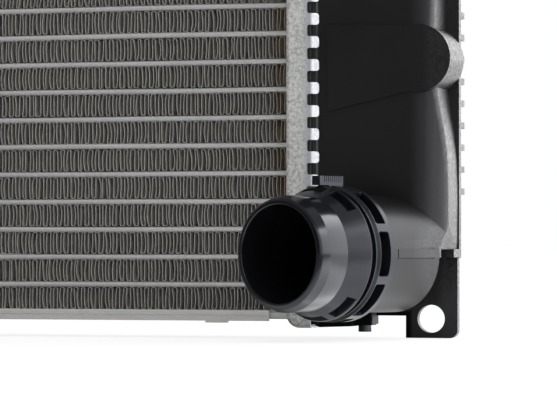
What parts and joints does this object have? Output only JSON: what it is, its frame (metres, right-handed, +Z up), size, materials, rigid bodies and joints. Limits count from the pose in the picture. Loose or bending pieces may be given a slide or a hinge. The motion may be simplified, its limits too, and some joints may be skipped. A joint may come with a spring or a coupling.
{
  "type": "car radiator",
  "caption": "Crossflow car radiator: brazed aluminium tube-and-fin core, crimped plastic end tanks, quick-lock hose spigots, drain and bleed screws.",
  "frame": {"origin": "middle of the seat face under the lower side plate, level with the lower edge of the core and halfway between the end tanks", "axes": "+X along the tubes towards the outlet tank, -Y towards the hose side, +Z up"},
  "size_m": [0.7214, 0.0987, 0.4481],
  "materials": {
    "core_aluminium": "brazed matt aluminium",
    "fin_aluminium": "thin brazed fin strip, slightly warm grey",
    "header_aluminium": "mottled flux-coated pressed aluminium",
    "tank_plastic": "black glass-filled nylon, satin",
    "coupling_plastic": "smooth black nylon",
    "seal_rubber": "black moulded rubber",
    "spring_steel": "dark phosphated spring wire"
  },
  "bodies": {
    "radiator": {"core_tubes": "core_aluminium", "fin_packs": "fin_aluminium", "lower_side_plate": "core_aluminium", "upper_side_plate": "core_aluminium", "outlet_header": "header_aluminium", "inlet_header": "header_aluminium", "outlet_gasket": "seal_rubber", "inlet_gasket": "seal_rubber", "outlet_tank": "tank_plastic", "inlet_tank": "tank_plastic", "outlet_spigot": "coupling_plastic", "inlet_spigot": "coupling_plastic", "outlet_collar": "coupling_plastic", "inlet_collar": "coupling_plastic", "outlet_snap_ring": "spring_steel", "inlet_snap_ring": "spring_steel", "outlet_o_rings": "seal_rubber", "inlet_o_rings": "seal_rubber"},
    "outlet_lock": {"outlet_lock_ring": "coupling_plastic"},
    "inlet_lock": {"inlet_lock_ring": "coupling_plastic"},
    "drain_slider": {"drain_seal": "seal_rubber"},
    "drain": {"drain_screw": "coupling_plastic"},
    "bleed_slider": {"bleed_seal": "seal_rubber"},
    "bleed": {"bleed_screw": "coupling_plastic"}
  },
  "joints": [
    {"name": "outlet_lock_turn", "type": "hinge", "parent": "radiator", "child": "outlet_lock", "pos_m": [0.32428, -0.04127, 0.0241], "axis": [-0.4226, -0.9063, 0], "range_deg": [0, 25]},
    {"name": "inlet_lock_turn", "type": "hinge", "parent": "radiator", "child": "inlet_lock", "pos_m": [-0.32428, -0.04127, 0.4118], "axis": [0.4226, -0.9063, 0], "range_deg": [0, 25]},
    {"name": "drain_travel", "type": "slide", "parent": "radiator", "child": "drain_slider", "axis": [0, 0, -1], "range_m": [0, 0.004]},
    {"name": "drain_turn", "type": "hinge", "parent": "drain_slider", "child": "drain", "pos_m": [0.327, -0.01, 0], "axis": [0, 0, -1], "range_deg": [0, 1152]},
    {"name": "bleed_travel", "type": "slide", "parent": "radiator", "child": "bleed_slider", "axis": [0, 0, 1], "range_m": [0, 0.004]},
    {"name": "bleed_turn", "type": "hinge", "parent": "bleed_slider", "child": "bleed", "pos_m": [-0.327, -0.01, 0.4359], "axis": [0, 0, 1], "range_deg": [0, 1152]}
  ],
  "couplings": [
    {"joint": "drain_turn", "follows": "drain_travel", "rad_per_m": 5026.5},
    {"joint": "bleed_turn", "follows": "bleed_travel", "rad_per_m": 5026.5}
  ]
}
